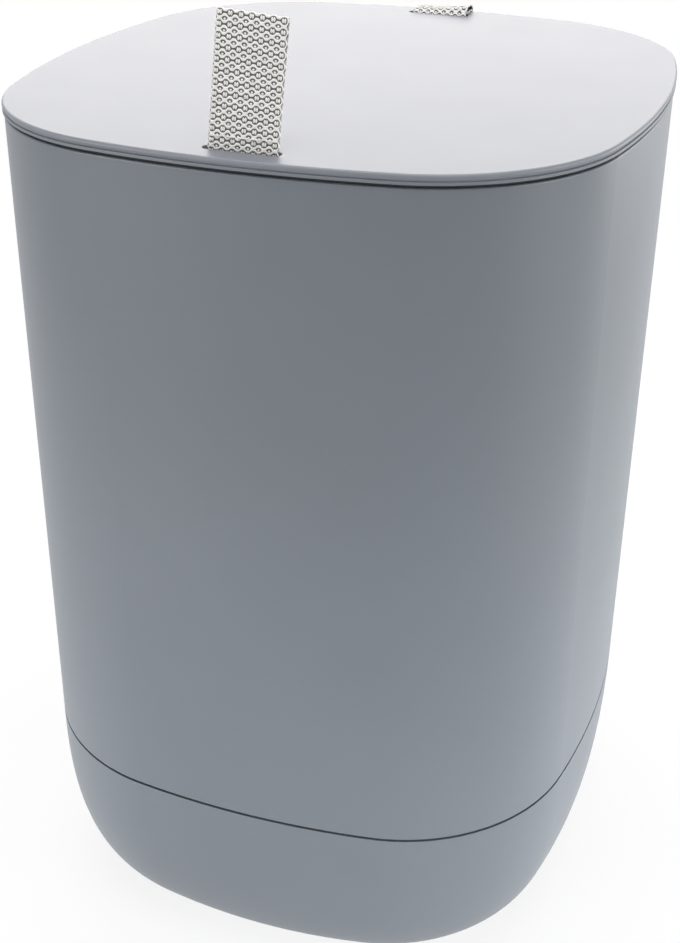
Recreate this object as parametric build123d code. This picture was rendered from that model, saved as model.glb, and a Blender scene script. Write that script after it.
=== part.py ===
from build123d import *
from math import hypot, radians, sin, sqrt, tan
import os

# A bokashi bin: tapering container with a sump and a drain tap, standing in a bowl-shaped base,
# closed by a flat lid with two webbing pull loops.
# Millimetres, +Z up, -Y the front. The origin is on the floor, under the middle of the body.

# Body in plan
lid_width = 280.0
lid_depth = 298.0
side_radius = 391.0
corner_radius = 85.3
seam_corner_radius = 86.1

# Heights and insets of the body
total_height = 398.4
seam_height = 87.3
seam_gap = 1.0
seam_inset = 5.0
edge_round = 0.6

# Lid cover
cover_band_height = 2.8
cover_band_taper = 0.7
cover_top_round = 1.2
cover_straight_height = 1.4
cover_plate = 1.8
cover_skirt = 2.6

# Lid liner
liner_flange = 1.3
liner_lip_inset = 0.1
liner_lip_round = 0.5
liner_wall = 2.6
liner_floor = 2.0
liner_plug_depth = 14.0
liner_rib_height = 0.8
liner_rib_width = 1.6
liner_lead_in = 1.5
plug_clearance = 1.4
snug_clearance = 0.05

# Lid gasket
rim_gap = 1.4
gasket_flange = 1.2
gasket_flange_inset = 2.0
gasket_web = 0.8
gasket_groove_depth = 1.6
gasket_groove_height = 5.0
gasket_groove_drop = 4.0
gasket_lip_height = 2.0
gasket_lip_clearance = 0.3

# Webbing loops
webbing_width = 29.0
webbing_thickness = 1.1
slot_inset = 13.0
slot_length = 32.0
slot_width = 5.0
slot_edge_round = 0.5
loop_crown_radius = 1.4
loop_crown_height = 46.8
loop_crown_lean = 11.5
loop_sewn_length = 8.0
webbing_clearance = 0.1
fold_gap = 0.15
edge_hang_clearance = 0.35

# Bars and clamps that hold the webbing under the cover
bar_diameter = 4.0
bar_length = 43.0
bar_fit = 0.05
wrap_gap = 0.3
clamp_length = 64.0
clamp_width = 7.2
clamp_thickness = 2.0
clamp_drop = 0.7
clamp_block_length = 6.0
clamp_screw_spacing = 54.0
clamp_boss_diameter = 7.0
screw_diameter = 3.0
screw_length = 6.0
screw_fit = 0.05
screw_head_diameter = 5.6
screw_head_height = 1.8

# Container
lid_overhang = 0.8
container_wall = 2.8
rim_round = 0.8
locating_depth = 12.3
locating_clearance = 0.8
shoulder_thickness = 3.0
shoulder_reach = 31.0
tub_floor_height = 10.0
tub_draft = 2.0
tap_bay_width = 84.0
tap_bay_wall_y = 56.0
tap_bay_round = 6.0

# Strainer
strainer_clearance = 4.0
strainer_plate = 2.5
strainer_rim_height = 8.0
strainer_rim_wall = 2.0
strainer_hole_diameter = 5.0
strainer_hole_pitch = 14.0
strainer_hole_field = 98.0
finger_hole_length = 28.0
finger_hole_width = 16.0
finger_hole_x = 68.0
strainer_rib_depth = 5.0
strainer_rib_width = 2.0
strainer_rib_x = 35.0
strainer_rib_front_y = -85.0
strainer_rib_rear_y = 40.0

# Base
base_wall = 3.0
base_flat_inset = 31.3
base_upper_handle = 27.5
base_lower_handle = 29.5
base_bottom_bow = 17.3
base_bottom_corner_radius = 70.0
bowl_steps = 12
rib_thickness = 3.0
rib_reach = 16.0
rib_side_spacing = 64.0
shoulder_clearance = 0.2
foot_diameter = 16.0
foot_height = 2.5
foot_proud = 1.2
foot_clearance = 0.15
foot_x = 62.0
foot_y = 68.0

# Drain tap
tap_axis_height = 34.0
tap_thread_diameter = 20.0
tap_thread_length = 22.0
tap_bore = 11.0
tap_hole_clearance = 0.1
tap_flange_diameter = 32.0
tap_flange_thickness = 3.0
washer_diameter = 30.0
washer_thickness = 2.0
nut_across_flats = 27.0
nut_height = 8.0
tap_reach = 30.0
tap_housing_diameter = 26.0
tap_housing_below = 13.0
tap_housing_above = 16.0
tap_spout_diameter = 16.0
tap_spout_length = 7.0
tap_outlet = 10.0
tap_seat = 3.0
plug_diameter = 17.0
plug_running_clearance = 0.05
plug_end_clearance = 0.2
plug_stem_diameter = 9.0
plug_square = 6.0
plug_square_height = 7.0
plug_stem_height = 4.3
o_ring_section = 1.6
o_ring_offset = 8.5
bonnet_wall = 2.0
bonnet_plate = 2.5
bonnet_skirt = 5.5
lever_hub_diameter = 14.0
lever_length = 34.0
lever_width = 10.0
lever_thickness = 5.0
lever_screw_diameter = 2.5
lever_screw_length = 9.0
lever_screw_head_diameter = 9.5
lever_screw_head_height = 2.0

# How far a cutting tool runs past the face that it cuts through
overcut = 1.0

# Heights worked out from the sizes above
lid_top = total_height
plate_under = lid_top - cover_plate
band_bottom = lid_top - cover_band_height
lip_bottom = band_bottom - liner_flange
rim_height = lip_bottom - rim_gap
wall_foot = seam_height + seam_gap
shoulder_under = seam_height - locating_depth
shoulder_top = shoulder_under + shoulder_thickness
tub_floor_top = tub_floor_height + container_wall

# Plan sizes worked out from the sizes above
seam_half_width = lid_width / 2 - seam_inset
seam_half_depth = lid_depth / 2 - seam_inset
flat_half_width = seam_half_width - base_flat_inset
flat_half_depth = seam_half_depth - base_flat_inset
base_bottom_side_radius = flat_half_depth + base_bottom_bow
skirt_inset = base_wall + locating_clearance
container_mouth_inset = lid_overhang + container_wall
plug_inset = container_mouth_inset + plug_clearance
tray_inset = plug_inset + liner_wall
plug_bottom = lip_bottom - liner_plug_depth
slot_offset = lid_depth / 2 - slot_inset


def outline(half_width, half_depth, side_arc, corner_arc, z):
    """Closed plan of four bowed sides and four corner arcs, each tangent to the next."""
    side_x = half_width - side_arc
    side_y = half_depth - side_arc
    span = hypot(side_x, side_y)
    rise = sqrt((side_arc - corner_arc) ** 2 - (span / 2) ** 2)
    corner = Vector(side_x / 2 - rise * side_y / span, side_y / 2 - rise * side_x / span)
    from_side_x = (corner - Vector(side_x, 0)).normalized()
    from_side_y = (corner - Vector(0, side_y)).normalized()
    end_x = corner + from_side_x * corner_arc
    end_y = corner + from_side_y * corner_arc
    middle = corner + (from_side_x + from_side_y).normalized() * corner_arc
    ends = [
        (end_x.X, -end_x.Y), (end_x.X, end_x.Y), (end_y.X, end_y.Y), (-end_y.X, end_y.Y),
        (-end_x.X, end_x.Y), (-end_x.X, -end_x.Y), (-end_y.X, -end_y.Y), (end_y.X, -end_y.Y),
    ]
    crowns = [
        (half_width, 0), (middle.X, middle.Y), (0, half_depth), (-middle.X, middle.Y),
        (-half_width, 0), (-middle.X, -middle.Y), (0, -half_depth), (middle.X, -middle.Y),
    ]
    arcs = [
        ThreePointArc(start, crown, end)
        for start, crown, end in zip(ends, crowns, ends[1:] + ends[:1])
    ]
    return Pos(0, 0, z) * Face(Wire(arcs))


def lid_plan(inset, z):
    """Plan of the lid, drawn in by inset."""
    return outline(
        lid_width / 2 - inset, lid_depth / 2 - inset, side_radius - inset, corner_radius - inset, z
    )


def seam_plan(inset, z):
    """Plan of the body at the seam, drawn in by inset."""
    return outline(
        seam_half_width - inset, seam_half_depth - inset,
        side_radius - inset, seam_corner_radius - inset, z
    )


def wall_plan(inset, z):
    """Plan of the container's tapering wall at height z, drawn in by inset."""
    fall = (rim_height - z) / (rim_height - wall_foot)
    drawn_in = lid_overhang + (seam_inset - lid_overhang) * fall + inset
    mouth_corner = corner_radius - lid_overhang
    corner = mouth_corner + (seam_corner_radius - mouth_corner) * fall - inset
    return outline(
        lid_width / 2 - drawn_in, lid_depth / 2 - drawn_in, side_radius - inset, corner, z
    )


def tub_plan(inset, z):
    """Plan of the container's narrow lower tub at height z, drawn in by inset."""
    draft = (shoulder_under - z) * tan(radians(tub_draft))
    return seam_plan(shoulder_reach + draft + inset, z)


def ring(outer_inset, inner_inset, z_low, z_high):
    """Upright ring between two insets of the lid's plan."""
    face = lid_plan(outer_inset, z_low) - lid_plan(inner_inset, z_low)
    return extrude(face, amount=z_high - z_low)


def rod_z(radius, z_low, z_high, x=0, y=0):
    """Upright cylinder between two heights."""
    bottom = (Align.CENTER, Align.CENTER, Align.MIN)
    return Pos(x, y, z_low) * Cylinder(radius, z_high - z_low, align=bottom)


def rod_y(radius, y_front, y_rear, z):
    """Cylinder along Y between two places, in the middle of the width."""
    bottom = (Align.CENTER, Align.CENTER, Align.MIN)
    return Pos(0, y_front, z) * Rot(-90, 0, 0) * Cylinder(radius, y_rear - y_front, align=bottom)


def block(x, y, z):
    """Box between the low and high ends of each axis."""
    return Pos(x[0], y[0], z[0]) * Box(
        x[1] - x[0], y[1] - y[0], z[1] - z[0], align=(Align.MIN, Align.MIN, Align.MIN)
    )


def pear(root, root_radius, crown, crown_radius):
    """Face in the YZ plane: two circles joined by their outer tangents."""
    along = (crown - root).normalized()
    across = Vector(-along.Y, along.X)
    lean = (root_radius - crown_radius) / (crown - root).length
    left = along * lean + across * sqrt(1 - lean**2)
    right = along * lean - across * sqrt(1 - lean**2)
    root_left = root + left * root_radius
    root_right = root + right * root_radius
    crown_left = crown + left * crown_radius
    crown_right = crown + right * crown_radius
    wire = Wire([
        ThreePointArc(root_left, root - along * root_radius, root_right),
        Line(root_right, crown_right),
        ThreePointArc(crown_right, crown + along * crown_radius, crown_left),
        Line(crown_left, root_left),
    ])
    return Plane.YZ * Face(wire)


def webbing(face):
    """Webbing as wide as the strap, from its side view in the YZ plane."""
    return extrude(face, amount=webbing_width / 2, both=True)


# Lid

def lid_cover():
    """Flat lid shell: plate, short edge band, two strap slots and the clamps' screw bosses."""
    straight_bottom = lid_top - cover_straight_height
    shell = extrude(lid_plan(0, straight_bottom), amount=cover_straight_height)
    shell = fillet(shell.faces().sort_by(Axis.Z)[-1].edges(), cover_top_round)
    shell += loft([lid_plan(cover_band_taper, band_bottom), lid_plan(0, straight_bottom)], ruled=True)
    pocket_inset = cover_band_taper + cover_skirt
    shell -= extrude(lid_plan(pocket_inset, band_bottom), amount=plate_under - band_bottom)
    for side in (-1, 1):
        slot = SlotOverall(slot_length, slot_width)
        shell -= Pos(0, side * slot_offset, plate_under) * extrude(slot, amount=2 * cover_plate)
        for x in clamp_screw_places():
            boss = rod_z(clamp_boss_diameter / 2, clamp_top(), plate_under, x, side * slot_offset)
            hole = rod_z(
                screw_diameter / 2 + screw_fit, clamp_top(), clamp_top() + screw_length - clamp_thickness,
                x, side * slot_offset
            )
            shell += boss
            shell -= hole
    slot_edges = [
        edge for edge in shell.faces().sort_by(Axis.Z)[-1].edges()
        if abs(edge.center().X) < slot_length and abs(abs(edge.center().Y) - slot_offset) < slot_width
    ]
    return fillet(slot_edges, slot_edge_round)


def lid_liner():
    """Tray under the cover: flange, plug wall with a seal groove, floor and locating rib."""
    flange = ring(liner_lip_inset, tray_inset, lip_bottom, band_bottom)
    flange = fillet(flange.faces().sort_by(Axis.Z)[-1].outer_wire().edges(), liner_lip_round)
    plug = extrude(lid_plan(plug_inset, plug_bottom), amount=lip_bottom - plug_bottom)
    plug = chamfer(plug.faces().sort_by(Axis.Z)[0].edges(), liner_lead_in)
    tray_floor = plug_bottom + liner_floor
    plug -= extrude(lid_plan(tray_inset, tray_floor), amount=lip_bottom - tray_floor)
    groove_top = lip_bottom - gasket_groove_drop
    plug -= ring(
        plug_inset - overcut, plug_inset + gasket_groove_depth, groove_top - gasket_groove_height, groove_top
    )
    rib_inset = cover_band_taper + cover_skirt + snug_clearance
    rib = ring(rib_inset, rib_inset + liner_rib_width, band_bottom, band_bottom + liner_rib_height)
    return flange + plug + rib


def lid_gasket():
    """Seal ring: a flange over the container's rim, a web down the plug, a groove bead and a lip."""
    groove_top = lip_bottom - gasket_groove_drop
    groove_bottom = groove_top - gasket_groove_height
    groove_middle = (groove_top + groove_bottom) / 2
    flange = ring(gasket_flange_inset, plug_inset, lip_bottom - gasket_flange, lip_bottom)
    web = ring(plug_inset - gasket_web, plug_inset, groove_bottom, lip_bottom)
    bead = ring(plug_inset - gasket_web, plug_inset + gasket_groove_depth, groove_bottom, groove_top)
    lip = ring(
        container_mouth_inset + gasket_lip_clearance, plug_inset,
        groove_middle - gasket_lip_height / 2, groove_middle + gasket_lip_height / 2
    )
    return flange + web + bead + lip


# Webbing loops and what holds them

def fold_axis(side):
    """Place in YZ of the line that a loop folds about, just over its slot."""
    return Vector(side * slot_offset, lid_top + webbing_thickness + webbing_clearance)


def bar_axis(side):
    """Place in YZ of the bar that a loop is wrapped round, under its slot."""
    wrap_radius = bar_diameter / 2 + webbing_clearance + webbing_thickness
    return Vector(side * slot_offset, plate_under - wrap_radius - wrap_gap)


def clamp_top():
    """Height of the clamp strip's upper face, clear of the webbing under the bar."""
    wrap_radius = bar_diameter / 2 + webbing_clearance + webbing_thickness
    return bar_axis(1).Y - wrap_radius - clamp_drop


def clamp_screw_places():
    """Places along X of a clamp's two screws."""
    return (-clamp_screw_spacing / 2, clamp_screw_spacing / 2)


def strap_wrap(side):
    """End of a loop's webbing, wrapped round its bar and up into the slot."""
    bar = bar_axis(side)
    axis = fold_axis(side)
    neck = Vector(axis.X, axis.Y - 2 * webbing_thickness - fold_gap)
    wrap_radius = bar_diameter / 2 + webbing_clearance + webbing_thickness
    face = pear(bar, wrap_radius, neck, webbing_thickness)
    face -= Plane.YZ * Pos(bar.X, bar.Y) * Circle(bar_diameter / 2 + webbing_clearance)
    return webbing(face)


def strap_front():
    """Front loop, pressed flat, standing up and leaning back over the lid."""
    root = fold_axis(-1)
    crown = root + Vector(loop_crown_lean, loop_crown_height)
    inner_radius = loop_crown_radius - webbing_thickness / 2
    outer_radius = loop_crown_radius + webbing_thickness / 2
    reach = (crown - root).length
    sewn_end = root + (crown - root).normalized() * loop_sewn_length
    band = pear(root, webbing_thickness, crown, outer_radius)
    band -= pear(sewn_end, inner_radius * loop_sewn_length / reach, crown, inner_radius)
    return webbing(band)


def loop_flat_length():
    """Length of a loop pressed flat: half of the front loop's run from slot to slot."""
    reach = hypot(loop_crown_lean, loop_crown_height)
    straight = sqrt(reach**2 - loop_crown_radius**2)
    return straight + loop_crown_radius * radians(90)


def edge_pivot():
    """Place in YZ where the rear loop bends down past the lid's rear edge."""
    y = lid_depth / 2 + edge_hang_clearance + webbing_thickness
    return Vector(y, fold_axis(1).Y)


def hanging_outline(gap):
    """Side view of the rear loop's hanging stretch, grown by gap."""
    bend = edge_pivot()
    hanging = loop_flat_length() - (bend.X - fold_axis(1).X)
    half = webbing_thickness + gap
    return pear(bend, half, bend - Vector(0, hanging), half)


def strap_rear():
    """Rear loop's stretch that lies flat from its slot to the lid's edge."""
    face = pear(fold_axis(1), webbing_thickness, edge_pivot(), webbing_thickness)
    return webbing(face - hanging_outline(fold_gap))


def strap_rear_end():
    """Rear loop's stretch that hangs down behind the lid's edge."""
    return webbing(hanging_outline(0))


def strap_bar(side):
    """Steel bar, longer than the slot, that the webbing is wrapped round."""
    bar = bar_axis(side)
    face = Plane.YZ * Pos(bar.X, bar.Y) * Circle(bar_diameter / 2)
    return extrude(face, amount=bar_length / 2, both=True)


def strap_clamp(side):
    """Clamp under the cover: a strip with two blocks that hold the bar's ends."""
    bar = bar_axis(side)
    width = (bar.X - clamp_width / 2, bar.X + clamp_width / 2)
    top = clamp_top()
    half = clamp_length / 2
    clamp = block((-half, half), width, (top - clamp_thickness, top))
    for end in (-1, 1):
        inner = end * (webbing_width / 2 + clamp_drop)
        outer = inner + end * clamp_block_length
        clamp += block((min(inner, outer), max(inner, outer)), width, (top, plate_under))
    bore = Plane.YZ * Pos(bar.X, bar.Y) * Circle(bar_diameter / 2 + bar_fit)
    clamp -= extrude(bore, amount=bar_length / 2 + bar_fit, both=True)
    for x in clamp_screw_places():
        clamp -= rod_z(screw_diameter / 2 + screw_fit, top - clamp_thickness, top, x, bar.X)
    return clamp


def strap_clamp_screws():
    """The four screws that hold both clamps to the cover's bosses."""
    head_top = clamp_top() - clamp_thickness
    screws = []
    for side in (-1, 1):
        for x in clamp_screw_places():
            shank = rod_z(screw_diameter / 2, head_top, head_top + screw_length, x, bar_axis(side).X)
            head = rod_z(
                screw_head_diameter / 2, head_top - screw_head_height, head_top, x, bar_axis(side).X
            )
            screws.append(shank + head)
    return Compound(children=screws)


# Container and strainer

def tap_bay(wall, top):
    """Recess in the rear of the tub that takes the tap, grown by wall on its upright sides."""
    half = tap_bay_width / 2 + wall
    front = tap_bay_wall_y - wall
    bay = block((-half, half), (front, lid_depth / 2), (0, top))
    corners = bay.edges().filter_by(Axis.Z).sort_by(Axis.Y)[:2]
    return fillet(corners, tap_bay_round + wall)


def container():
    """Tapering wall, locating skirt, shoulder and lower tub with its tap bay, in one moulding."""
    wall = loft([wall_plan(0, wall_foot), wall_plan(0, rim_height)], ruled=True)
    wall = fillet(wall.faces().sort_by(Axis.Z)[-1].edges(), rim_round)
    wall = fillet(wall.faces().sort_by(Axis.Z)[0].edges(), edge_round)
    step_height = wall_foot + container_wall
    skirt = extrude(seam_plan(skirt_inset, shoulder_under), amount=step_height - shoulder_under)
    tub = loft([tub_plan(0, tub_floor_height), tub_plan(0, shoulder_under)], ruled=True)
    tub -= tap_bay(0, shoulder_under)
    above_rim = rim_height + overcut
    upper = loft(
        [wall_plan(container_wall, step_height), wall_plan(container_wall, above_rim)], ruled=True
    )
    lower = extrude(
        seam_plan(skirt_inset + container_wall, shoulder_top), amount=step_height - shoulder_top
    )
    sump = loft(
        [tub_plan(container_wall, tub_floor_top), tub_plan(container_wall, shoulder_top)], ruled=True
    )
    sump -= tap_bay(container_wall, shoulder_top)
    tap_hole = rod_y(
        tap_thread_diameter / 2 + tap_hole_clearance,
        tap_bay_wall_y - 2 * container_wall, tap_bay_wall_y + container_wall, tap_axis_height
    )
    return wall + skirt + tub - upper - lower - sump - tap_hole


def strainer():
    """Perforated false floor on the shoulder: rim, drain holes, two finger holes and ribs."""
    edge_inset = skirt_inset + container_wall + strainer_clearance
    plate = seam_plan(edge_inset, shoulder_top)
    steps = int(strainer_hole_field / strainer_hole_pitch)
    for column in range(-steps, steps + 1):
        for row in range(-steps, steps + 1):
            x = column * strainer_hole_pitch
            y = row * strainer_hole_pitch
            near_finger_hole = (
                abs(abs(x) - finger_hole_x) < (finger_hole_length + strainer_hole_pitch) / 2
                and abs(y) < (finger_hole_width + strainer_hole_pitch) / 2
            )
            on_rib = abs(abs(x) - strainer_rib_x) < strainer_hole_diameter / 2 + strainer_rib_width / 2
            if hypot(x, y) < strainer_hole_field and not near_finger_hole and not on_rib:
                plate -= Pos(x, y, shoulder_top) * Circle(strainer_hole_diameter / 2)
    for side in (-1, 1):
        slot = SlotOverall(finger_hole_length, finger_hole_width)
        plate -= Pos(side * finger_hole_x, 0, shoulder_top) * slot
    grille = extrude(plate, amount=strainer_plate)
    rim = seam_plan(edge_inset, shoulder_top) - seam_plan(edge_inset + strainer_rim_wall, shoulder_top)
    grille += extrude(rim, amount=strainer_rim_height)
    for side in (-1, 1):
        low = side * strainer_rib_x - strainer_rib_width / 2
        grille += block(
            (low, low + strainer_rib_width), (strainer_rib_front_y, strainer_rib_rear_y),
            (shoulder_top - strainer_rib_depth, shoulder_top)
        )
    return grille


# Base

def bowl_section(t, wall):
    """Plan of the bowl from its rim (t = 0) to its flat bottom (t = 1), drawn in by wall."""
    slant = (seam_inset - lid_overhang) / (rim_height - wall_foot)
    rim = Vector(seam_half_width, seam_height)
    below_rim = rim - Vector(slant, 1) * base_upper_handle
    flat = Vector(flat_half_width, foot_proud)
    beside_flat = flat + Vector(base_lower_handle, 0)
    s = 1 - t
    place = rim * s**3 + below_rim * 3 * s**2 * t + beside_flat * 3 * s * t**2 + flat * t**3
    run = (
        (below_rim - rim) * s**2 + (beside_flat - below_rim) * 2 * s * t + (flat - beside_flat) * t**2
    ).normalized()
    draw_in = -run.Y * wall
    rise = -run.X * wall
    share = (seam_half_width - place.X) / base_flat_inset
    side_arc = side_radius + (base_bottom_side_radius - side_radius) * share
    corner_arc = seam_corner_radius + (base_bottom_corner_radius - seam_corner_radius) * share
    half_width = place.X - draw_in
    half_depth = half_width + seam_half_depth - seam_half_width
    return outline(half_width, half_depth, side_arc - draw_in, corner_arc - draw_in, place.Y + rise)


def foot_places():
    """Centres of the four feet."""
    return {
        "front_left": (-foot_x, -foot_y),
        "front_right": (foot_x, -foot_y),
        "rear_left": (-foot_x, foot_y),
        "rear_right": (foot_x, foot_y),
    }


def bowl_sections(wall, first_step):
    """Plans of the bowl, closer together towards its flat bottom, drawn in by wall."""
    return [
        bowl_section(sin(radians(90 * step / bowl_steps)), wall) for step in range(first_step, bowl_steps + 1)
    ]


def base_ribs():
    """Blocks for the ribs under the container's shoulder, three on each side of the cavity."""
    rib_top = shoulder_under - shoulder_clearance
    inner_x = seam_half_width - base_wall - rib_reach
    inner_y = seam_half_depth - base_wall - rib_reach
    ribs = []
    for place in (-rib_side_spacing, 0, rib_side_spacing):
        along = (place - rib_thickness / 2, place + rib_thickness / 2)
        ribs += [
            block((inner_x, lid_width / 2), along, (0, rib_top)),
            block((-lid_width / 2, -inner_x), along, (0, rib_top)),
            block(along, (inner_y, lid_depth / 2), (0, rib_top)),
            block(along, (-lid_depth / 2, -inner_y), (0, rib_top)),
        ]
    return ribs


def base():
    """Bowl that the container stands in, with ribs under the shoulder and recesses for the feet."""
    bowl = loft(bowl_sections(0, 0))
    cavity = loft(bowl_sections(base_wall, -1)) - base_ribs()
    feet = [
        rod_z(foot_diameter / 2 + foot_clearance, 0, foot_height, x, y) for x, y in foot_places().values()
    ]
    return bowl - [cavity] - feet



def foot(place):
    """Anti-slip pad pressed into its recess, standing a little proud of the base."""
    return rod_z(foot_diameter / 2, 0, foot_height, *place)


# Drain tap, in the bay behind the tub

washer_outer_front = tap_bay_wall_y
flange_front = washer_outer_front + washer_thickness
flange_rear = flange_front + tap_flange_thickness
housing_y = flange_front + tap_reach
housing_bottom = tap_axis_height - tap_housing_below
housing_top = tap_axis_height + tap_housing_above
chamber_bottom = housing_bottom + tap_seat
plug_bottom_height = chamber_bottom + plug_end_clearance
plug_top = housing_top - plug_end_clearance
stem_top = plug_top + plug_stem_height
square_top = stem_top + plug_square_height
washer_inner_rear = tap_bay_wall_y - container_wall
washer_inner_front = washer_inner_rear - washer_thickness


def tap_body():
    """Flange, threaded stub, barrel, plug housing and downward spout, bored through."""
    body = rod_y(tap_flange_diameter / 2, flange_front, flange_rear, tap_axis_height)
    body += rod_y(
        tap_thread_diameter / 2, flange_front - tap_thread_length, housing_y, tap_axis_height
    )
    body += rod_z(tap_housing_diameter / 2, housing_bottom, housing_top, y=housing_y)
    body += rod_z(
        tap_spout_diameter / 2, housing_bottom - tap_spout_length, housing_bottom, y=housing_y
    )
    body -= rod_y(tap_bore / 2, flange_front - tap_thread_length, housing_y, tap_axis_height)
    chamber_radius = plug_diameter / 2 + plug_running_clearance
    body -= rod_z(chamber_radius, chamber_bottom, housing_top, y=housing_y)
    body -= rod_z(tap_outlet / 2, housing_bottom - tap_spout_length, chamber_bottom, y=housing_y)
    return body


def tap_washer(y_front):
    """Flat rubber washer on one side of the bay's wall."""
    hole = tap_thread_diameter / 2 + tap_hole_clearance
    washer = rod_y(washer_diameter / 2, y_front, y_front + washer_thickness, tap_axis_height)
    return washer - rod_y(hole, y_front, y_front + washer_thickness, tap_axis_height)


def tap_nut():
    """Hexagonal nut that draws the tap against the bay's wall from inside the sump."""
    hexagon = RegularPolygon(nut_across_flats / 2, 6, major_radius=False)
    nut = Pos(0, washer_inner_front, tap_axis_height) * Rot(90, 0, 0) * extrude(hexagon, amount=nut_height)
    hole = tap_thread_diameter / 2 + snug_clearance
    return nut - rod_y(hole, washer_inner_front - nut_height, washer_inner_front, tap_axis_height)


def o_ring_heights():
    """Heights of the plug's two O-rings, above and below its port."""
    return (tap_axis_height - o_ring_offset, tap_axis_height + o_ring_offset)


def tap_plug():
    """Turning plug, open below and with one side port, which faces +X while the tap is shut."""
    plug = rod_z(plug_diameter / 2, plug_bottom_height, plug_top, y=housing_y)
    plug += rod_z(plug_stem_diameter / 2, plug_top, stem_top, y=housing_y)
    half = plug_square / 2
    plug += block((-half, half), (housing_y - half, housing_y + half), (stem_top, square_top))
    plug -= rod_z(tap_outlet / 2, plug_bottom_height, tap_axis_height + tap_outlet / 2, y=housing_y)
    port = Pos(0, housing_y, tap_axis_height) * Rot(0, 90, 0) * Cylinder(
        tap_outlet / 2, plug_diameter, align=(Align.CENTER, Align.CENTER, Align.MIN)
    )
    plug -= port
    for height in o_ring_heights():
        groove = Pos(0, housing_y, height) * Cylinder(plug_diameter, o_ring_section)
        groove -= Pos(0, housing_y, height) * Cylinder(plug_diameter / 2 - o_ring_section, o_ring_section)
        plug -= groove
    screw_hole = rod_z(
        lever_screw_diameter / 2 + screw_fit, square_top - lever_screw_length, square_top, y=housing_y
    )
    return plug - screw_hole


def tap_o_rings():
    """The plug's two O-rings."""
    ring_radius = plug_diameter / 2 - o_ring_section / 2
    rings = [
        Pos(0, housing_y, height) * Torus(ring_radius, o_ring_section / 2)
        for height in o_ring_heights()
    ]
    return Compound(children=rings)


def tap_bonnet():
    """Screwed cap over the housing that keeps the plug in."""
    skirt_radius = tap_housing_diameter / 2 + snug_clearance
    bonnet = rod_z(
        skirt_radius + bonnet_wall, housing_top - bonnet_skirt, housing_top + bonnet_plate, y=housing_y
    )
    bonnet -= rod_z(skirt_radius, housing_top - bonnet_skirt, housing_top, y=housing_y)
    stem_hole = plug_stem_diameter / 2 + plug_running_clearance
    return bonnet - rod_z(stem_hole, housing_top, housing_top + bonnet_plate, y=housing_y)


def tap_lever():
    """Quarter-turn lever on the plug's square, pointing to -X while the tap is shut."""
    hub_bottom = stem_top
    lever = rod_z(lever_hub_diameter / 2, hub_bottom, square_top, y=housing_y)
    arm_bottom = square_top - lever_thickness
    arm_end = lever_length - lever_width / 2
    half = lever_width / 2
    lever += block((-arm_end, 0), (housing_y - half, housing_y + half), (arm_bottom, square_top))
    lever += rod_z(half, arm_bottom, square_top, x=-arm_end, y=housing_y)
    socket = plug_square / 2 + snug_clearance
    socket_y = (housing_y - socket, housing_y + socket)
    return lever - block((-socket, socket), socket_y, (hub_bottom, square_top))


def tap_lever_screw():
    """Screw down through the lever into the plug's square."""
    shank = rod_z(
        lever_screw_diameter / 2, square_top - lever_screw_length, square_top, y=housing_y
    )
    head_top = square_top + lever_screw_head_height
    return shank + rod_z(lever_screw_head_diameter / 2, square_top, head_top, y=housing_y)


nodes = {
    "lid_cover": lid_cover(),
    "lid_liner": lid_liner(),
    "lid_gasket": lid_gasket(),
    "strap_front": strap_front(),
    "strap_front_wrap": strap_wrap(-1),
    "strap_front_bar": strap_bar(-1),
    "strap_front_clamp": strap_clamp(-1),
    "strap_rear": strap_rear(),
    "strap_rear_end": strap_rear_end(),
    "strap_rear_wrap": strap_wrap(1),
    "strap_rear_bar": strap_bar(1),
    "strap_rear_clamp": strap_clamp(1),
    "strap_clamp_screws": strap_clamp_screws(),
    "container": container(),
    "strainer": strainer(),
    "base": base(),
    "tap_body": tap_body(),
    "tap_washer_outer": tap_washer(washer_outer_front),
    "tap_washer_inner": tap_washer(washer_inner_front),
    "tap_nut": tap_nut(),
    "tap_plug": tap_plug(),
    "tap_o_rings": tap_o_rings(),
    "tap_bonnet": tap_bonnet(),
    "tap_lever": tap_lever(),
    "tap_lever_screw": tap_lever_screw(),
}
for corner, place in foot_places().items():
    nodes["foot_" + corner] = foot(place)

os.makedirs("parts", exist_ok=True)
for name, shape in nodes.items():
    export_step(shape, os.path.join("parts", name + ".step"))
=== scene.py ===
import bpy
import numpy as np
from math import ceil, cos, pi, radians, sin
from mathutils import Matrix, Vector


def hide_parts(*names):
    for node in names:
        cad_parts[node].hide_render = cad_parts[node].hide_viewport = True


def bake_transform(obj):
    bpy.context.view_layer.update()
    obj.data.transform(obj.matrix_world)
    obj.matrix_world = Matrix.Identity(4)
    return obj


# A bokashi bin dressed for a studio render: satin plastic shell and lid, two loops of open-looped
# webbing, and the tap and strainer hidden inside. Metres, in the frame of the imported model.

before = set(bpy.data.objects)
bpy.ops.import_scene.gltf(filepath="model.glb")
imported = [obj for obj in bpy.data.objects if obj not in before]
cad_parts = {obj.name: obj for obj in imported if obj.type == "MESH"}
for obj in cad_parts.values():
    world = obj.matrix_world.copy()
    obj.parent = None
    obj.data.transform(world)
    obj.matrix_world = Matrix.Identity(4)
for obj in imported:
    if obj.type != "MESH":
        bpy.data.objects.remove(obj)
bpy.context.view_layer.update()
scene = bpy.context.scene
mm = 0.001

# Webbing and the lid that holds it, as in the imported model
webbing_width = 29 * mm
lid_top = 398.4 * mm
fold_height = 399.6 * mm
slot_y = 136 * mm
edge_y = 150.45 * mm
bar_height = 393.1 * mm

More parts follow.
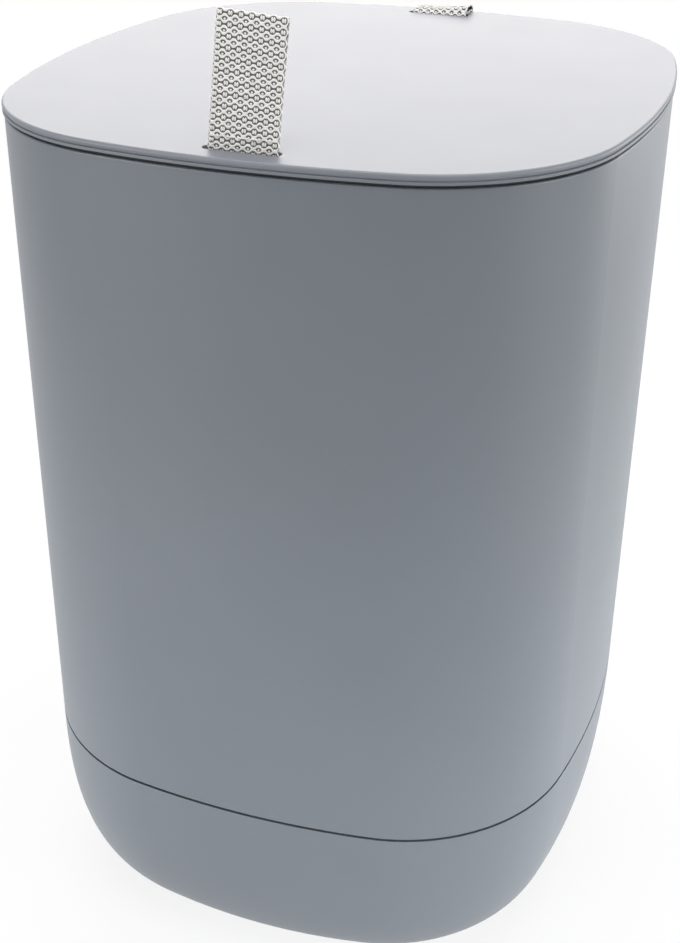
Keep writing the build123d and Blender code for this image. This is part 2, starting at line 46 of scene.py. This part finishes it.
# A loop's two layers lie this far to each side of its axis: round the bar, just above the bar,
# inside the slot, and pressed together
bar_wrap_radius = 2.65 * mm
shoulder_offset = 1.9 * mm
slot_offset = 0.75 * mm
layer_offset = 0.42 * mm
shoulder_height = bar_height + 2 * mm
slot_height = lid_top - 2.2 * mm

# Front loop: the middle of its crown, from the line that it folds about
front_pinch_height = lid_top - 0.6 * mm
crown_lean = 11.5 * mm
crown_height = 47.2 * mm
crown_radius = 0.85 * mm
crown_droop = 1.9 * mm

# Rear loop: how it bends out of its slot, puffs up on the lid, and hangs behind the lid's edge
rear_bend_height = lid_top - 0.9 * mm
rear_bend_length = 1.1 * mm
rear_bend_offset = 1.1 * mm
rear_slot_offset = 0.8 * mm
edge_bend_length = 1.2 * mm
rear_hang = 36.2 * mm
rear_cut_y = 143 * mm
rear_puff = 0.4 * mm
rear_lift = 1.8 * mm

# Both loops sit a little to the right in their slots
loop_shift = 0.6 * mm

# Knit: columns and rows of eyes, and the wavy courses of yarn between them
columns = 6.8
column_pitch = webbing_width / columns
row_pitch = 4.2 * mm
course_offset = 1.38 * mm
course_swing = 0.62 * mm
course_squareness = 0.16
course_lift = 0.16 * mm
course_lift_swing = 0.05 * mm
course_half_width = 0.54 * mm
course_half_height = 0.25 * mm

# Beads of yarn in the eyes, with half sizes across, along and up from the webbing
eye_bead_half = (0.46 * mm, 0.86 * mm, 0.28 * mm)
eye_bead_offset = 0.44 * mm
eye_bead_lift = 0.16 * mm
small_bead_half = (0.5 * mm, 0.42 * mm, 0.22 * mm)
small_bead_drop = 0.2 * mm
small_bead_lift = 0.1 * mm

# Dark sheets of painted shade under the yarn, standing in for the shadow in the gaps between the
# yarns, and the cords along both edges
edge = webbing_width / 2 - 0.35 * mm
shade_sheet_depth = 0.08 * mm
station_step = 0.4 * mm
cord_inset = 0.1 * mm
cord_wobble = 0.3 * mm
cord_lift = 0.03 * mm
cord_half_width = 0.26 * mm
cord_half_height = 0.34 * mm

# Row of stitches through both layers, a little above the lid
stitch_height = 4.6 * mm
stitch_pitch = 5.4 * mm
stitch_lift = 0.15 * mm
stitch_hump = 0.45 * mm
stitch_half_width = 0.36 * mm
stitch_half_height = 0.26 * mm

# Material slots of the webbing (yarn, painted shade in the gaps, thread), and its directions when flat
yarn_slot, shade_sheet_slot, thread_slot = 0, 1, 2
across_unit = np.array([1.0, 0.0, 0.0])
along_unit = np.array([0.0, 1.0, 0.0])
up_unit = np.array([0.0, 0.0, 1.0])


# Small helpers for node materials


def new_material(name):
    material = bpy.data.materials.new(name)
    material.use_nodes = True
    return material, material.node_tree, material.node_tree.nodes["Principled BSDF"]


def add_node(tree, kind, **inputs):
    node = tree.nodes.new(kind)
    for socket, value in inputs.items():
        node.inputs[socket.replace("_", " ")].default_value = value
    return node


def ramp(tree, factor, stops):
    """Colour ramp fed by factor; stops are (position, colour)."""
    node = tree.nodes.new("ShaderNodeValToRGB")
    elements = node.color_ramp.elements
    while len(elements) < len(stops):
        elements.new(0.5)
    for element, (position, colour) in zip(elements, stops):
        element.position = position
        element.color = (*colour, 1)
    tree.links.new(factor, node.inputs["Fac"])
    return node.outputs["Color"]


def grey(value):
    return (value, value, value)


def noise(tree, scale, detail=2.0, stretch=(1, 1, 1)):
    """Noise in the object's own space, with scale in features per metre."""
    place = tree.nodes.new("ShaderNodeTexCoord")
    mapping = tree.nodes.new("ShaderNodeMapping")
    mapping.inputs["Scale"].default_value = stretch
    tree.links.new(place.outputs["Object"], mapping.inputs["Vector"])
    texture = add_node(tree, "ShaderNodeTexNoise", Scale=scale, Detail=detail)
    tree.links.new(mapping.outputs["Vector"], texture.inputs["Vector"])
    return texture.outputs["Fac"]


def bump(tree, shader, height, distance, strength=1.0):
    node = add_node(tree, "ShaderNodeBump", Distance=distance, Strength=strength)
    tree.links.new(height, node.inputs["Height"])
    tree.links.new(node.outputs["Normal"], shader.inputs["Normal"])


# Materials


def plastic(name, colour, roughness, grain, grain_depth):
    """Moulded plastic: even colour with faint clouding, fine surface grain, slightly uneven gloss."""
    clouding = 0.03
    unevenness = 0.006
    material, tree, shader = new_material(name)
    dark = tuple(c * (1 - clouding) for c in colour)
    light = tuple(c * (1 + clouding) for c in colour)
    clouds = ramp(tree, noise(tree, scale=9, detail=3), [(0.3, dark), (0.7, light)])
    tree.links.new(clouds, shader.inputs["Base Color"])
    smooth = grey(roughness - unevenness)
    rough = grey(roughness + unevenness)
    gloss = ramp(tree, noise(tree, scale=30, detail=4), [(0.3, smooth), (0.7, rough)])
    tree.links.new(gloss, shader.inputs["Roughness"])
    bump(tree, shader, noise(tree, scale=grain, detail=3), grain_depth)
    return material


def rubber(name, colour):
    """Matte rubber with lighter patches, as if lightly dusty."""
    material, tree, shader = new_material(name)
    lighter = tuple(c * 1.5 for c in colour)
    patches = ramp(tree, noise(tree, scale=60, detail=4), [(0.35, colour), (0.7, lighter)])
    tree.links.new(patches, shader.inputs["Base Color"])
    shader.inputs["Roughness"].default_value = 0.75
    bump(tree, shader, noise(tree, scale=1800, detail=3), 0.04 * mm)
    return material


def brushed_steel(name):
    """Steel brushed along the object's X axis."""
    material, tree, shader = new_material(name)
    shader.inputs["Metallic"].default_value = 1
    streaks = noise(tree, scale=900, detail=3, stretch=(0.05, 1, 1))
    colour = ramp(tree, streaks, [(0.3, grey(0.55)), (0.7, grey(0.68))])
    roughness = ramp(tree, streaks, [(0.3, grey(0.25)), (0.7, grey(0.4))])
    tree.links.new(colour, shader.inputs["Base Color"])
    tree.links.new(roughness, shader.inputs["Roughness"])
    bump(tree, shader, streaks, 0.01 * mm)
    return material


def yarn(name, colour, shade, roughness):
    """Spun yarn: colour that varies along it, with fine filaments across the surface."""
    material, tree, shader = new_material(name)
    spun = ramp(tree, noise(tree, scale=500, detail=4), [(0.3, shade), (0.65, colour)])
    tree.links.new(spun, shader.inputs["Base Color"])
    shader.inputs["Roughness"].default_value = roughness
    shader.inputs["Specular IOR Level"].default_value = 0.15
    shader.inputs["Sheen Weight"].default_value = 0.05
    filaments = noise(tree, scale=6000, detail=2, stretch=(1, 1, 0.35))
    bump(tree, shader, filaments, 0.06 * mm)
    return material


shell_material = plastic(
    "satin_shell", colour=(0.1435, 0.1622, 0.185), roughness=0.42, grain=1500, grain_depth=0.03 * mm
)
lid_material = plastic(
    "satin_lid", colour=(0.186, 0.2, 0.226), roughness=0.46, grain=1500, grain_depth=0.03 * mm
)
liner_material = plastic(
    "plain_moulding", colour=(0.165, 0.182, 0.205), roughness=0.5, grain=900, grain_depth=0.04 * mm
)
tap_material = plastic(
    "tap_plastic", colour=(0.018, 0.02, 0.022), roughness=0.3, grain=700, grain_depth=0.03 * mm
)
seal_material = rubber("seal_rubber", colour=(0.012, 0.013, 0.014))
foot_material = rubber("foot_rubber", colour=(0.03, 0.032, 0.035))
steel_material = brushed_steel("bar_steel")
yarn_material = yarn(
    "webbing_yarn", colour=(0.92, 0.905, 0.885), shade=(0.84, 0.825, 0.805), roughness=0.8
)
# Painted shade: a dark sheet under the yarn that stands in for the shadow in the gaps between the
# yarns
painted_shade_material = yarn(
    "webbing_painted_shade", colour=(0.16, 0.156, 0.148), shade=(0.12, 0.117, 0.111), roughness=0.9
)
thread_material = yarn(
    "stitch_thread", colour=(0.86, 0.85, 0.82), shade=(0.76, 0.75, 0.71), roughness=0.6
)


def paint(material, *names):
    """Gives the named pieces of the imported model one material."""
    for name in names:
        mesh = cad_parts[name].data
        mesh.materials.clear()
        mesh.materials.append(material)


paint(shell_material, "container", "base")
paint(lid_material, "lid_cover")
paint(liner_material, "lid_liner", "strainer", "strap_front_clamp", "strap_rear_clamp")
paint(seal_material, "lid_gasket", "tap_washer_outer", "tap_washer_inner", "tap_o_rings")
paint(steel_material, "strap_front_bar", "strap_rear_bar", "strap_clamp_screws", "tap_lever_screw")
paint(tap_material, "tap_body", "tap_nut", "tap_plug", "tap_bonnet", "tap_lever")
paint(foot_material, "foot_front_left", "foot_front_right", "foot_rear_left", "foot_rear_right")
paint(
    yarn_material, "strap_front", "strap_front_wrap", "strap_rear", "strap_rear_wrap", "strap_rear_end"
)


# Lines that the webbing follows


def loop_line(axis, left_offsets, right_offsets, end_radius):
    """Closed line of one layer of webbing, in the YZ plane. It goes round the bar, up one side of the
    loop's axis at the given offsets, round the far end, and back down the other side."""
    smoothing_passes = 3
    axis = np.array(axis)
    along = np.gradient(axis, axis=0)
    along /= np.linalg.norm(along, axis=1)[:, None]
    across = np.stack([-along[:, 1], along[:, 0]], axis=1)
    left = axis + across * np.array(left_offsets)[:, None]
    right = axis - across * np.array(right_offsets)[:, None]
    turn = np.linspace(0, pi, 9)[1:-1]
    far_end = [axis[-1] + end_radius * (across[-1] * cos(a) + along[-1] * sin(a)) for a in turn]
    bar_end = [axis[0] - bar_wrap_radius * (across[0] * cos(a) + along[0] * sin(a)) for a in turn]
    middle = len(bar_end) // 2
    line = np.vstack([bar_end[middle:], left, far_end, right[::-1], bar_end[:middle]])
    for _ in range(smoothing_passes):
        following = np.roll(line, -1, axis=0)
        corners_cut = [0.75 * line + 0.25 * following, 0.25 * line + 0.75 * following]
        line = np.stack(corners_cut, axis=1).reshape(-1, 2)
    return line


class Layer:
    """A closed line that flat webbing is laid along: place() maps flat points onto it."""

    def __init__(self, line, drape):
        closed = np.vstack([line, line[:1]])
        steps = np.linalg.norm(np.diff(closed, axis=0), axis=1)
        self.stations = np.concatenate([[0], np.cumsum(steps)])
        self.length = self.stations[-1]
        self.line = closed
        tangent = np.gradient(closed, axis=0)
        tangent[0] = tangent[-1] = tangent[0] + tangent[-1]
        self.tangent = tangent / np.linalg.norm(tangent, axis=1)[:, None]
        self.drape = drape

    def station(self, s):
        """Points and directions of the line at lengths s along it."""
        s = np.mod(s, self.length)
        point = np.stack([np.interp(s, self.stations, self.line[:, k]) for k in (0, 1)], axis=-1)
        tangent = np.stack([np.interp(s, self.stations, self.tangent[:, k]) for k in (0, 1)], axis=-1)
        return point, tangent / np.linalg.norm(tangent, axis=-1)[..., None]

    def trace(self, samples):
        """Evenly spaced lengths along the line, and the Y and Z of its points there."""
        stations = np.linspace(0, self.length, samples)
        points, _ = self.station(stations)
        return stations, points[:, 0], points[:, 1]

    def place(self, flat):
        """Flat points (across, along, up from the ground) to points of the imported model's frame."""
        point, tangent = self.station(flat[:, 1])
        outward = np.stack([-tangent[:, 1], tangent[:, 0]], axis=1)
        place = point + outward * flat[:, 2:3]
        return self.drape(np.column_stack([flat[:, 0], place]))


def crossings(stations, values, level):
    """Lengths along a line at which the values pass a level."""
    return list(stations[:-1][np.diff(np.sign(values - level)) != 0])


# Knitting of flat webbing


class Knit:
    """Collects flat pieces of webbing and turns them into one mesh."""

    def __init__(self):
        self.points = []
        self.faces = []
        self.materials = []
        self.count = 0

    def grid(self, points, material, closed_columns):
        """Quads over a grid of points, shape (rows, columns, 3)."""
        rows, width = points.shape[:2]
        start = self.count
        last = width if closed_columns else width - 1
        for row in range(rows - 1):
            for column in range(last):
                right = (column + 1) % width
                a = start + row * width + column
                b = start + row * width + right
                self.faces.append((a, b, b + width, a + width))
                self.materials.append(material)
        self.points.append(points.reshape(-1, 3))
        self.count += rows * width

    def tube(self, centre, across, half_width, half_height, material, sides=8):
        """Tube of oval section along a line of flat points, drawn in to a point at both ends."""
        tip_size = 0.05
        angle = np.linspace(0, 2 * pi, sides, endpoint=False)
        size = np.ones(len(centre))
        size[0] = size[-1] = tip_size
        ring = (
            across[None, None, :] * (np.cos(angle) * half_width)[None, :, None]
            + up_unit[None, None, :] * (np.sin(angle) * half_height)[None, :, None]
        )
        self.grid(centre[:, None, :] + ring * size[:, None, None], material, True)

    def bead(self, centre, half, material, rings=6, sides=8):
        """Oval bead of yarn, with a pinhole at each pole so that no quad closes up."""
        pinhole = 0.02
        polar = np.linspace(pinhole, pi - pinhole, rings)[:, None]
        around = np.linspace(0, 2 * pi, sides, endpoint=False)[None, :]
        shape = np.stack([
            np.sin(polar) * np.cos(around), np.cos(polar) + 0 * around, np.sin(polar) * np.sin(around)
        ], axis=2)
        self.grid(np.array(centre) + shape * np.array(half), material, True)


def add_shade_sheets(knit, stations):
    """The two faces of the dark sheet of painted shade that shows through the gaps between the yarns.
    """
    across = np.linspace(-edge, edge, 12)
    for height in (-shade_sheet_depth, shade_sheet_depth):
        u, s = np.meshgrid(across, stations)
        knit.grid(np.stack([u, s, np.full_like(u, height)], axis=2), shade_sheet_slot, False)


def add_course(knit, place, side):
    """One course of yarn right across the webbing, which waves round the eyes beside it."""
    across = np.linspace(-edge, edge, 65)
    angle = 2 * pi * across / column_pitch
    wave = np.cos(angle) - course_squareness * np.cos(3 * angle)
    along = place + side * course_swing * wave
    lift = course_lift + course_lift_swing * np.cos(2 * angle)
    line = np.stack([across, along, lift], axis=1)
    knit.tube(line, along_unit, course_half_width, course_half_height, yarn_slot)


def add_eye_beads(knit, place):
    """Two beads side by side in each large eye of a row."""
    for column in range(-3, 4):
        for side in (-1, 1):
            across = column * column_pitch + side * eye_bead_offset
            knit.bead((across, place, eye_bead_lift), eye_bead_half, yarn_slot)


def add_small_beads(knit, place):
    """One bead in each small eye between two rows."""
    for column in range(-3, 3):
        across = (column + 0.5) * column_pitch
        knit.bead((across, place - small_bead_drop, small_bead_lift), small_bead_half, yarn_slot)


def add_edge_cords(knit, stations, pitch):
    """A cord along each edge, which wobbles once a row."""
    for side in (-1, 1):
        across = side * (edge - cord_inset) + cord_wobble * np.cos(2 * pi * stations / pitch)
        line = np.stack([across, stations, np.full_like(stations, cord_lift)], axis=1)
        knit.tube(line, across_unit, cord_half_width, cord_half_height, yarn_slot)


def add_stitches(knit, place):
    """A row of stitches right across the webbing, each a hump of thread."""
    count = round(2 * edge / stitch_pitch)
    step = 2 * edge / count
    share = np.linspace(0.03, 0.97, 9)
    lift = stitch_lift + stitch_hump * np.sin(np.linspace(0, pi, len(share))) ** 0.3
    for index in range(count):
        across = share * step + index * step - edge
        line = np.stack([across, np.full_like(across, place), lift], axis=1)
        knit.tube(line, along_unit, stitch_half_width, stitch_half_height, thread_slot)


def knit_webbing(length, first, last, stitches):
    """Flat webbing between two places along a loop of the given length: a dark sheet of painted shade
    for the gaps, wavy courses of yarn that leave staggered eyes, beads of yarn in the eyes, and cords
    along the edges."""
    knit = Knit()
    rows = round(length / row_pitch)
    pitch = length / rows
    stations = np.linspace(first, last, 2 + ceil((last - first) / station_step))
    add_shade_sheets(knit, stations)
    for row in range(-1, rows + 1):
        eyes = row * pitch
        for side in (-1, 1):
            course = eyes + side * course_offset
            if first <= course <= last:
                add_course(knit, course, side)
        if first <= eyes <= last:
            add_eye_beads(knit, eyes)
        small_eyes = eyes + pitch / 2
        if first <= small_eyes <= last:
            add_small_beads(knit, small_eyes)
    add_edge_cords(knit, stations, pitch)
    for place in stitches:
        if first < place < last:
            add_stitches(knit, place)
    return knit


def webbing_piece(name, layer, spans, stitches):
    """One mesh of webbing over one or more spans of a loop's line."""
    points = []
    faces = []
    materials = []
    count = 0
    for first, last in spans:
        knit = knit_webbing(layer.length, first, last, stitches)
        placed = layer.place(np.vstack(knit.points))
        faces += [tuple(index + count for index in face) for face in knit.faces]
        materials += knit.materials
        points.append(placed)
        count += len(placed)
    mesh = bpy.data.meshes.new(name)
    mesh.from_pydata(np.vstack(points).tolist(), [], faces)
    for material in (yarn_material, painted_shade_material, thread_material):
        mesh.materials.append(material)
    mesh.polygons.foreach_set("material_index", materials)
    mesh.polygons.foreach_set("use_smooth", [True] * len(faces))
    mesh.update()
    piece = bpy.data.objects.new(name, mesh)
    scene.collection.objects.link(piece)
    return piece


# Front loop


def front_drape(points):
    """The front loop's crown runs down a little to the right."""
    share = np.clip((points[:, 2] - fold_height) / crown_height, 0, 1)
    points[:, 2] -= crown_droop * share * points[:, 0] / webbing_width
    points[:, 0] += loop_shift
    return points


def add_front_webbing():
    """The loop stands up from its slot and leans in over the lid."""
    axis = [
        (-slot_y, bar_height), (-slot_y, shoulder_height), (-slot_y, slot_height),
        (-slot_y, front_pinch_height), (-slot_y, fold_height),
    ]
    offsets = [bar_wrap_radius, shoulder_offset, slot_offset, layer_offset, layer_offset]
    for share in np.linspace(0.06, 1, 12):
        axis.append((-slot_y + crown_lean * share, fold_height + crown_height * share))
        offsets.append(layer_offset + (crown_radius - layer_offset) * share)
    layer = Layer(loop_line(axis, offsets, offsets, crown_radius), front_drape)
    stations, _, z = layer.trace(4000)
    stitches = crossings(stations, z, lid_top + stitch_height)
    piece = webbing_piece("webbing_front", layer, [(0, layer.length)], stitches)
    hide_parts("strap_front", "strap_front_wrap")
    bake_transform(piece)


# Rear loop


def rear_drape(points):
    """The rear loop's upper layer gapes open towards its right edge."""
    upper = np.clip((points[:, 2] - fold_height) / (0.5 * mm), 0, 1)
    points[:, 2] += rear_lift * upper * np.clip(points[:, 0] / webbing_width + 0.5, 0, 1) ** 2
    points[:, 0] += loop_shift
    return points


def rear_layer():
    """The loop leaves its slot, lies back to the lid's edge with its upper layer puffed, and hangs."""
    axis = [
        (slot_y, bar_height), (slot_y, shoulder_height), (slot_y, slot_height),
        (slot_y, rear_bend_height),
    ]
    upper = [bar_wrap_radius, shoulder_offset, rear_slot_offset, rear_bend_offset]
    lower = [bar_wrap_radius, shoulder_offset, slot_offset, layer_offset]
    lying = np.linspace(slot_y + rear_bend_length, edge_y - edge_bend_length, 7)
    axis += [(y, fold_height) for y in lying]
    for share in np.linspace(0, 1, len(lying)):
        upper.append(layer_offset + rear_puff * sin(radians(30 + 120 * share)))
    lower += [layer_offset] * len(lying)
    hanging = np.linspace(fold_height - edge_bend_length, fold_height - rear_hang, 9)
    axis += [(edge_y, z) for z in hanging]
    puff_past_the_edge = (0.4, 0.2, 0.1)
    upper += [layer_offset + rear_puff * share for share in puff_past_the_edge]
    upper += [layer_offset] * (len(hanging) - len(puff_past_the_edge))
    lower += [layer_offset] * len(hanging)
    return Layer(loop_line(axis, upper, lower, layer_offset), rear_drape)


def add_rear_webbing():
    """Two pieces of webbing, which meet on top of the lid: near the slot, and out over the edge."""
    layer = rear_layer()
    stations, y, _ = layer.trace(6000)
    past_cut = stations[y > rear_cut_y]
    first = past_cut[0]
    last = past_cut[-1]
    stitches = crossings(stations, y, slot_y + stitch_height)
    near = webbing_piece("webbing_rear", layer, [(0, first), (last, layer.length)], stitches)
    far = webbing_piece("webbing_rear_end", layer, [(first, last)], [])
    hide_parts("strap_rear", "strap_rear_wrap")
    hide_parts("strap_rear_end")
    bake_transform(near)
    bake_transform(far)


add_front_webbing()
add_rear_webbing()


# Camera, at the photo's viewing angle


def add_camera():
    place = (0.21641, -0.65127, 0.56244)
    azimuth = radians(18.914)
    elevation = radians(24.517)
    roll = radians(0.535)
    focal_px = 1530.5
    middle_row = 369.69
    frame_height = 943
    level = Vector((cos(azimuth), sin(azimuth), 0))
    ahead = Vector((-sin(azimuth), cos(azimuth), 0))
    forward = ahead * cos(elevation) - Vector((0, 0, 1)) * sin(elevation)
    upright = level.cross(forward)
    right = level * cos(roll) + upright * sin(roll)
    up = upright * cos(roll) - level * sin(roll)
    data = bpy.data.cameras.new("camera")
    camera = bpy.data.objects.new("camera", data)
    scene.collection.objects.link(camera)
    turn = Matrix((right, up, -forward)).transposed().to_4x4()
    camera.matrix_world = Matrix.Translation(place) @ turn
    data.sensor_fit = "VERTICAL"
    data.sensor_height = 36
    data.lens = data.sensor_height * focal_px / frame_height
    data.shift_y = (middle_row - frame_height / 2) / frame_height
    data.clip_end = 30
    scene.camera = camera


# Floor and surroundings: how much of the floor is glow, over what distance from the bin it becomes
# all glow, and how strong the white world is on the object and in the backdrop

floor_albedo = 0.88
floor_reach = 5
floor_glow = 0.85
floor_lit_reach = (0.3, 1.1)
world_on_matt = 0.22
world_in_gloss = 1.0


def backdrop_rays(tree):
    """1 for rays that should see a white backdrop: from the camera, from gloss and through glass."""
    rays = tree.nodes.new("ShaderNodeLightPath")
    seen = rays.outputs["Is Camera Ray"]
    for kind in ("Is Glossy Ray", "Is Transmission Ray"):
        either = add_node(tree, "ShaderNodeMath")
        either.operation = "MAXIMUM"
        tree.links.new(seen, either.inputs[0])
        tree.links.new(rays.outputs[kind], either.inputs[1])
        seen = either.outputs[0]
    return seen


def glow_share(tree):
    """Share of the floor that is glow: more with distance, and only for the backdrop rays."""
    place = tree.nodes.new("ShaderNodeTexCoord")
    distance = add_node(tree, "ShaderNodeVectorMath")
    distance.operation = "LENGTH"
    tree.links.new(place.outputs["Object"], distance.inputs[0])
    fade = tree.nodes.new("ShaderNodeMapRange")
    fade.inputs["From Min"].default_value = floor_lit_reach[0]
    fade.inputs["From Max"].default_value = floor_lit_reach[1]
    fade.inputs["To Min"].default_value = floor_glow
    fade.inputs["To Max"].default_value = 1.0
    tree.links.new(distance.outputs["Value"], fade.inputs["Value"])
    share = add_node(tree, "ShaderNodeMath")
    share.operation = "MULTIPLY"
    tree.links.new(backdrop_rays(tree), share.inputs[0])
    tree.links.new(fade.outputs["Result"], share.inputs[1])
    return share.outputs[0]


def add_floor():
    """White floor. Most of its white is a glow that only the backdrop rays see; the rest is lit, so
    that it keeps the object's shadow. Far from the object all of it is glow."""
    mesh = bpy.data.meshes.new("floor")
    corners = [(x * floor_reach, y * floor_reach, 0) for x, y in ((-1, -1), (1, -1), (1, 1), (-1, 1))]
    mesh.from_pydata(corners, [], [(0, 1, 2, 3)])
    floor = bpy.data.objects.new("floor", mesh)
    scene.collection.objects.link(floor)
    material, tree, shader = new_material("floor")
    shader.inputs["Base Color"].default_value = (*grey(floor_albedo), 1)
    shader.inputs["Roughness"].default_value = 0.8
    glow = add_node(tree, "ShaderNodeEmission", Strength=1.0)
    mix = tree.nodes.new("ShaderNodeMixShader")
    tree.links.new(glow_share(tree), mix.inputs["Fac"])
    tree.links.new(shader.outputs[0], mix.inputs[1])
    tree.links.new(glow.outputs[0], mix.inputs[2])
    tree.links.new(mix.outputs[0], tree.nodes["Material Output"].inputs["Surface"])
    mesh.materials.append(material)


def add_world():
    """White room for the backdrop rays, and a weaker soft light on everything."""
    world = bpy.data.worlds.new("studio")
    world.use_nodes = True
    tree = world.node_tree
    background = tree.nodes["Background"]
    background.inputs["Color"].default_value = (1, 1, 1, 1)
    strength = add_node(tree, "ShaderNodeMapRange")
    strength.inputs["To Min"].default_value = world_on_matt
    strength.inputs["To Max"].default_value = world_in_gloss
    tree.links.new(backdrop_rays(tree), strength.inputs["Value"])
    tree.links.new(strength.outputs["Result"], background.inputs["Strength"])
    scene.world = world


# Lamps: a soft one above, one behind whose reflection makes the lid pale, a low and an upper one on
# each side, and one low behind on the right. The two low ones at the sides have a narrow spread, so
# that the bin gets lighter towards its foot


def add_area(name, place, aim, size, power, colour=(1, 1, 1), spread=180):
    """Rectangular lamp that faces a point, with its spread in degrees."""
    data = bpy.data.lights.new(name, "AREA")
    data.shape = "RECTANGLE"
    data.size = size[0]
    data.size_y = size[1]
    data.energy = power
    data.spread = radians(spread)
    data.color = colour
    lamp = bpy.data.objects.new(name, data)
    lamp.location = place
    lamp.rotation_euler = (Vector(aim) - Vector(place)).to_track_quat("-Z", "Y").to_euler()
    scene.collection.objects.link(lamp)


def add_lamps():
    middle = (0, 0, 0.4)
    upper = (0, 0, 0.45)
    foot = (0, 0, 0.02)
    add_area("top", (0, 0, 2.0), middle, size=(1.6, 1.6), power=30)
    add_area("back", (-0.6, 1.75, 1.05), middle, size=(2.4, 0.9), power=28, colour=(1, 0.955, 0.94))
    add_area("low_left", (-1.1, -1.3, 0.12), foot, size=(1.0, 0.3), power=0.9, spread=26)
    add_area("low_right", (1.5, -0.1, 0.12), foot, size=(0.8, 0.3), power=1.0, spread=26)
    add_area("left", (-1.1, -1.3, 0.55), upper, size=(1.0, 0.4), power=1.9, spread=70)
    add_area("right", (1.5, -0.1, 0.5), upper, size=(0.8, 0.35), power=1.6, spread=70)
    add_area("right_back", (1.2, 1.3, 0.2), (0, 0, 0.1), size=(0.8, 0.4), power=6)


add_camera()
add_floor()
add_world()
add_lamps()
scene.view_settings.view_transform = "Standard"
